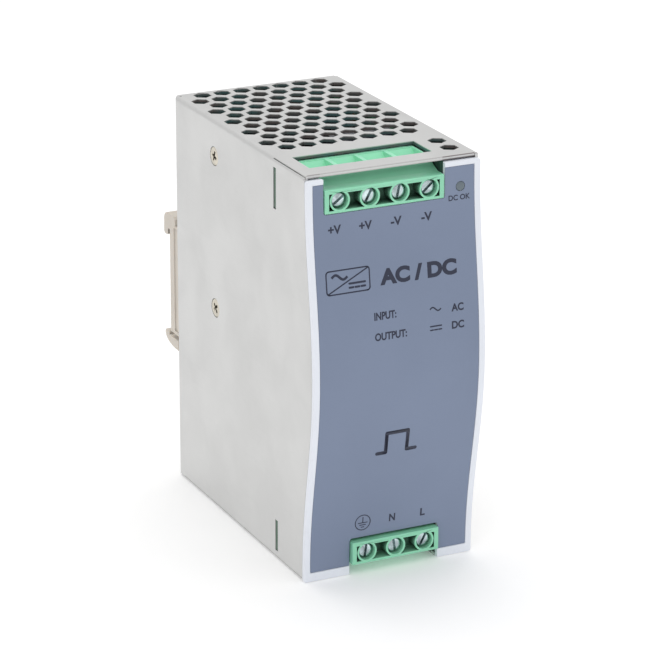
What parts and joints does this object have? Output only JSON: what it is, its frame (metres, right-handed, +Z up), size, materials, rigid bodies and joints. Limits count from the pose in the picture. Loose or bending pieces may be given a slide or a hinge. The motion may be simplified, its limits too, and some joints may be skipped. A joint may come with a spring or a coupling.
{
  "type": "din rail power supply",
  "caption": "Rail-mounted power supply: vented folded-metal case, bowed plastic front, screw-terminal blocks above and below, sprung rail foot and boards inside.",
  "frame": {"origin": "on the standing surface, under the middle of the whole outline", "axes": "+Z up, -Y towards the bowed front, +Y towards the mounting rail, +X to the right seen from the front"},
  "size_m": [0.0556, 0.11, 0.1252],
  "materials": {
    "case_sheet": "satin zinc-plated sheet",
    "bezel_plastic": "fine-textured moulding",
    "label_film": "satin printed film",
    "lens_plastic": "smoked lens",
    "terminal_plastic": "moulded, slightly glossy",
    "screw_zinc": "bright zinc plate",
    "cage_metal": "nickel plate",
    "contact_metal": "tinned brass",
    "clip_nylon": "moulded nylon",
    "spring_steel": "drawn wire",
    "board": "solder-masked laminate",
    "insulation": "thin film",
    "fuse_body": "ceramic tube with plated caps",
    "varistor_coat": "dipped coating",
    "thermistor_coat": "dipped coating",
    "film_box": "potted box",
    "disc_coat": "dipped coating",
    "ferrite": "sintered",
    "copper_wire": "enamelled winding",
    "epoxy_black": "moulded epoxy",
    "capacitor_sleeve": "shrink sleeve",
    "heatsink": "extruded plate",
    "bobbin_plastic": "moulded",
    "winding_tape": "polyester tape",
    "toroid_coat": "coated iron powder",
    "chip_white": "moulded",
    "trimmer_blue": "moulded",
    "led_body": "tinted epoxy"
  },
  "bodies": {
    "case": {"chassis": "case_sheet", "side_cover": "case_sheet", "front_bezel": "bezel_plastic", "front_label": "label_film", "ok_lens": "lens_plastic", "side_screws": "screw_zinc", "cover_screws": "screw_zinc", "clip_screws": "screw_zinc", "insulation_sheet": "insulation", "rail_clip": "clip_nylon", "latch_spring": "spring_steel", "output_terminal": "terminal_plastic", "input_terminal": "terminal_plastic", "output_contacts": "contact_metal", "input_contacts": "contact_metal", "output_board": "board", "input_board": "board", "main_board": "board", "board_spacers": "screw_zinc", "board_screws": "screw_zinc", "fuse": "fuse_body", "varistor": "varistor_coat", "inrush_thermistor": "thermistor_coat", "x_capacitors": "film_box", "y_capacitors": "disc_coat", "choke_core": "ferrite", "choke_windings": "copper_wire", "bridge_rectifier": "epoxy_black", "bulk_capacitors": "capacitor_sleeve", "primary_heatsink": "heatsink", "power_transistor": "epoxy_black", "transformer_core": "ferrite", "transformer_bobbin": "bobbin_plastic", "transformer_winding": "winding_tape", "secondary_heatsink": "heatsink", "output_diode": "epoxy_black", "inductor_core": "toroid_coat", "inductor_winding": "copper_wire", "output_capacitors": "capacitor_sleeve", "optocouplers": "chip_white", "control_chip": "epoxy_black", "trimmer_body": "trimmer_blue", "status_led": "led_body", "device_screws": "screw_zinc"},
    "rail_latch": {"rail_latch": "clip_nylon"},
    "output_screw_1": {"output_screw_1": "screw_zinc"},
    "output_cage_1": {"output_cage_1": "cage_metal"},
    "output_screw_2": {"output_screw_2": "screw_zinc"},
    "output_cage_2": {"output_cage_2": "cage_metal"},
    "output_screw_3": {"output_screw_3": "screw_zinc"},
    "output_cage_3": {"output_cage_3": "cage_metal"},
    "output_screw_4": {"output_screw_4": "screw_zinc"},
    "output_cage_4": {"output_cage_4": "cage_metal"},
    "input_screw_1": {"input_screw_1": "screw_zinc"},
    "input_cage_1": {"input_cage_1": "cage_metal"},
    "input_screw_2": {"input_screw_2": "screw_zinc"},
    "input_cage_2": {"input_cage_2": "cage_metal"},
    "input_screw_3": {"input_screw_3": "screw_zinc"},
    "input_cage_3": {"input_cage_3": "cage_metal"},
    "trimmer_rotor": {"trimmer_rotor": "contact_metal"}
  },
  "joints": [
    {"name": "rail_latch_slide", "type": "slide", "parent": "case", "child": "rail_latch", "axis": [0, 0, -1], "range_m": [0, 0.003], "stiffness_N_per_m": 1500, "springref_m": -0.003, "deforming": ["latch_spring"]},
    {"name": "trimmer_turn", "type": "hinge", "parent": "case", "child": "trimmer_rotor", "pos_m": [0.0225, -0.0327, 0.118], "axis": [0, 0, 1], "range_deg": [-135, 135]},
    {"name": "output_screw_1_turn", "type": "hinge", "parent": "case", "child": "output_screw_1", "pos_m": [-0.01735, -0.0468, 0.1171], "axis": [0, 1, 0], "range_deg": [0, 2160]},
    {"name": "output_cage_1_slide", "type": "slide", "parent": "case", "child": "output_cage_1", "axis": [0, -1, 0], "range_m": [0, 0.003]},
    {"name": "output_screw_2_turn", "type": "hinge", "parent": "case", "child": "output_screw_2", "pos_m": [-0.00785, -0.0468, 0.1171], "axis": [0, 1, 0], "range_deg": [0, 2160]},
    {"name": "output_cage_2_slide", "type": "slide", "parent": "case", "child": "output_cage_2", "axis": [0, -1, 0], "range_m": [0, 0.003]},
    {"name": "output_screw_3_turn", "type": "hinge", "parent": "case", "child": "output_screw_3", "pos_m": [0.00165, -0.0468, 0.1171], "axis": [0, 1, 0], "range_deg": [0, 2160]},
    {"name": "output_cage_3_slide", "type": "slide", "parent": "case", "child": "output_cage_3", "axis": [0, -1, 0], "range_m": [0, 0.003]},
    {"name": "output_screw_4_turn", "type": "hinge", "parent": "case", "child": "output_screw_4", "pos_m": [0.01115, -0.0468, 0.1171], "axis": [0, 1, 0], "range_deg": [0, 2160]},
    {"name": "output_cage_4_slide", "type": "slide", "parent": "case", "child": "output_cage_4", "axis": [0, -1, 0], "range_m": [0, 0.003]},
    {"name": "input_screw_1_turn", "type": "hinge", "parent": "case", "child": "input_screw_1", "pos_m": [-0.00785, -0.0468, 0.0071], "axis": [0, 1, 0], "range_deg": [0, 2160]},
    {"name": "input_cage_1_slide", "type": "slide", "parent": "case", "child": "input_cage_1", "axis": [0, -1, 0], "range_m": [0, 0.003]},
    {"name": "input_screw_2_turn", "type": "hinge", "parent": "case", "child": "input_screw_2", "pos_m": [0.00165, -0.0468, 0.0071], "axis": [0, 1, 0], "range_deg": [0, 2160]},
    {"name": "input_cage_2_slide", "type": "slide", "parent": "case", "child": "input_cage_2", "axis": [0, -1, 0], "range_m": [0, 0.003]},
    {"name": "input_screw_3_turn", "type": "hinge", "parent": "case", "child": "input_screw_3", "pos_m": [0.01115, -0.0468, 0.0071], "axis": [0, 1, 0], "range_deg": [0, 2160]},
    {"name": "input_cage_3_slide", "type": "slide", "parent": "case", "child": "input_cage_3", "axis": [0, -1, 0], "range_m": [0, 0.003]}
  ],
  "couplings": [
    {"joint": "output_screw_1_turn", "follows": "output_cage_1_slide", "rad_per_m": 12566},
    {"joint": "output_screw_2_turn", "follows": "output_cage_2_slide", "rad_per_m": 12566},
    {"joint": "output_screw_3_turn", "follows": "output_cage_3_slide", "rad_per_m": 12566},
    {"joint": "output_screw_4_turn", "follows": "output_cage_4_slide", "rad_per_m": 12566},
    {"joint": "input_screw_1_turn", "follows": "input_cage_1_slide", "rad_per_m": 12566},
    {"joint": "input_screw_2_turn", "follows": "input_cage_2_slide", "rad_per_m": 12566},
    {"joint": "input_screw_3_turn", "follows": "input_cage_3_slide", "rad_per_m": 12566}
  ]
}
